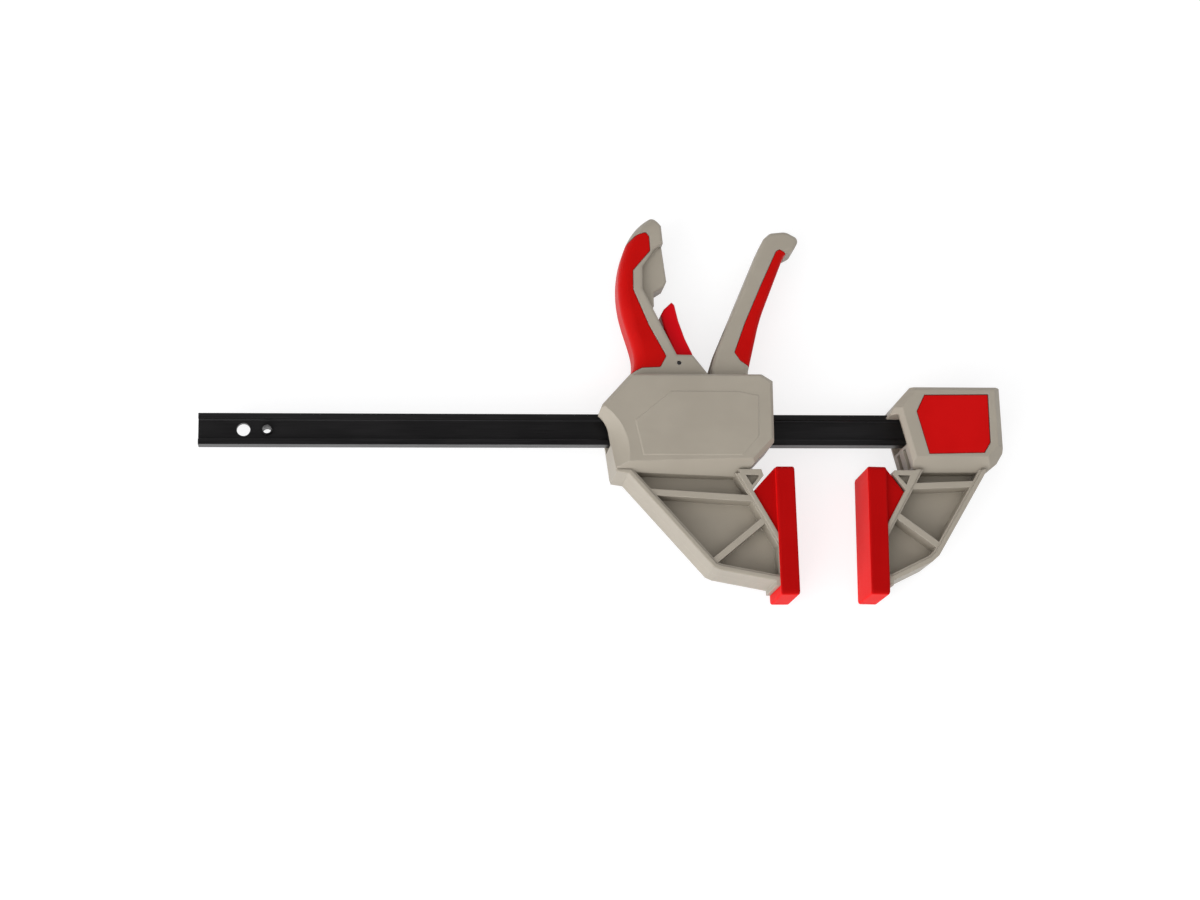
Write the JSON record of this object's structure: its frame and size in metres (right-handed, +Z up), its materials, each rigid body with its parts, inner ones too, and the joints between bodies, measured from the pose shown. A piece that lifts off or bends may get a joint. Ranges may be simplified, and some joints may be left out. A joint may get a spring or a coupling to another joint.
{
  "type": "quick release bar clamp",
  "caption": "One-handed bar clamp: a fixed jaw on the end of an I-section bar, a sliding jaw with pistol grip, squeeze lever and release trigger, and soft red pads.",
  "frame": {"origin": "centre of the clamp's outline, on the surface that it lies on", "axes": "+X along the bar towards the fixed jaw, +Y towards the handles, +Z up through the clamp's depth as it lies on its side"},
  "size_m": [0.5598, 0.275, 0.048],
  "materials": {
    "housing_plastic": "warm grey glass filled nylon, fine satin grain",
    "red_rubber": "soft red overmoulded rubber",
    "red_pad": "red non marking pad",
    "red_plastic": "red moulded plastic",
    "black_steel": "black satin coated steel",
    "plated_steel": "zinc plated",
    "screw_steel": "dark plated",
    "spring_steel": "drawn wire",
    "plate_steel": "hardened, blanked"
  },
  "bodies": {
    "bar": {"bar": "black_steel", "stop_pin": "plated_steel", "fixed_jaw": "housing_plastic", "fixed_insert_front": "red_plastic", "fixed_insert_back": "red_plastic", "fixed_jaw_pins": "plated_steel", "fixed_pad": "red_pad"},
    "sliding_head": {"housing_front": "housing_plastic", "housing_back": "housing_plastic", "housing_screws": "screw_steel", "grip_cover": "red_rubber", "sliding_pad": "red_pad", "lever_pivot_pin": "plated_steel", "trigger_pivot_pin": "plated_steel", "drive_spring": "spring_steel", "brake_spring": "spring_steel"},
    "drive_lever": {"drive_lever": "housing_plastic", "lever_grip": "red_rubber", "lever_push_pin": "plated_steel"},
    "drive_plates": {"drive_plate_1": "plate_steel", "drive_plate_2": "plate_steel", "drive_plate_3": "plate_steel"},
    "brake_plates": {"brake_plate_1": "plate_steel", "brake_plate_2": "plate_steel"},
    "release_trigger": {"release_trigger": "red_plastic"}
  },
  "joints": [
    {"name": "head_slide", "type": "slide", "parent": "bar", "child": "sliding_head", "axis": [1, 0, 0], "range_m": [-0.237, 0.049]},
    {"name": "lever_squeeze", "type": "hinge", "parent": "sliding_head", "child": "drive_lever", "pos_m": [0.0881, 0.00321, 0.024], "axis": [0, 0, 1], "range_deg": [0, 32], "stiffness_Nm_per_rad": 1.5, "springref_deg": -8.59},
    {"name": "drive_plates_push", "type": "slide", "parent": "sliding_head", "child": "drive_plates", "axis": [-1, 0, 0], "range_m": [0, 0.0051], "deforming": ["drive_spring"]},
    {"name": "trigger_squeeze", "type": "hinge", "parent": "sliding_head", "child": "release_trigger", "pos_m": [0.0525, 0.02891, 0.024], "axis": [0, 0, 1], "range_deg": [0, 6], "stiffness_Nm_per_rad": 1, "springref_deg": -5.73},
    {"name": "brake_release", "type": "hinge", "parent": "sliding_head", "child": "brake_plates", "pos_m": [0.04959, 0.00721, 0.024], "axis": [0, 0, 1], "range_deg": [-5.5, 0], "deforming": ["brake_spring"]}
  ],
  "couplings": [
    {"joint": "drive_plates_push", "follows": "lever_squeeze", "m_per_rad": 0.009},
    {"joint": "brake_release", "follows": "trigger_squeeze", "ratio": -0.87}
  ]
}
